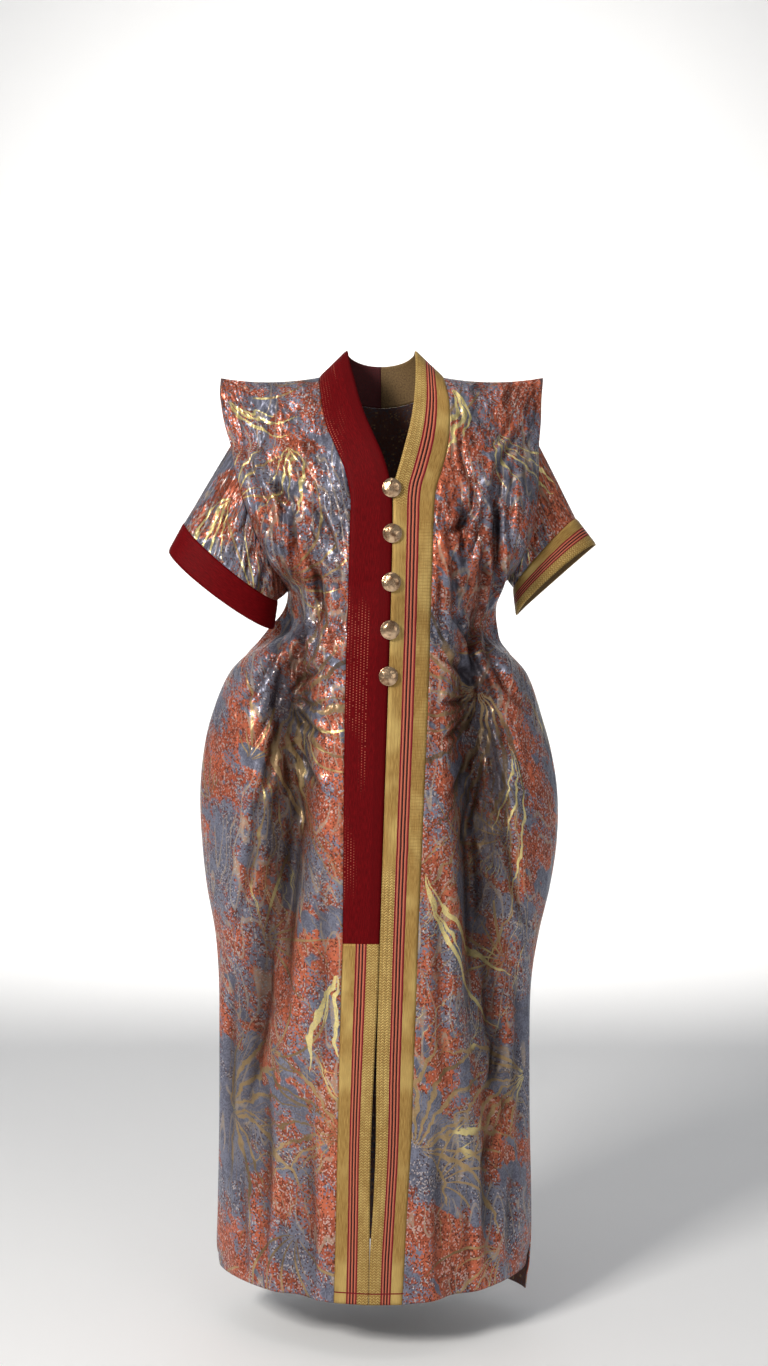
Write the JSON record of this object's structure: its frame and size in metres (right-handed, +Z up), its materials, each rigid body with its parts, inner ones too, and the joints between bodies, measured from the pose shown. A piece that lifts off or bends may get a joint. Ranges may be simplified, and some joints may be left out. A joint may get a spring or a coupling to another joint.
{
  "type": "grand boubou robe",
  "caption": "Long open-front brocade robe with winged shoulders, short banded sleeves, crimson and gold striped front bands and dome buttons, stored as worn.",
  "frame": {"origin": "between the wearer's shoulders, at the height of the shoulder seams", "axes": "+Z up along the robe, -Y towards the front opening, +X towards the wearer's left"},
  "size_m": [0.6632, 0.3139, 1.4607],
  "materials": {
    "brocade": "slate blue and rust brocade with a metallic thread",
    "crimson_braid": "matt crimson braid with gold stitches",
    "gold_braid": "satin gold braid with dark red and salmon stripes",
    "button_metal": "hammered antique metal"
  },
  "bodies": {
    "root": {"front_right": "brocade", "front_left": "brocade", "back": "brocade", "sleeve_right": "brocade", "sleeve_left": "brocade", "band_red": "crimson_braid", "cuff_red": "crimson_braid", "band_gold": "gold_braid", "band_gold_lower": "gold_braid", "cuff_gold": "gold_braid", "button_1": "button_metal", "button_2": "button_metal", "button_3": "button_metal", "button_4": "button_metal", "button_5": "button_metal"}
  },
  "joints": []
}
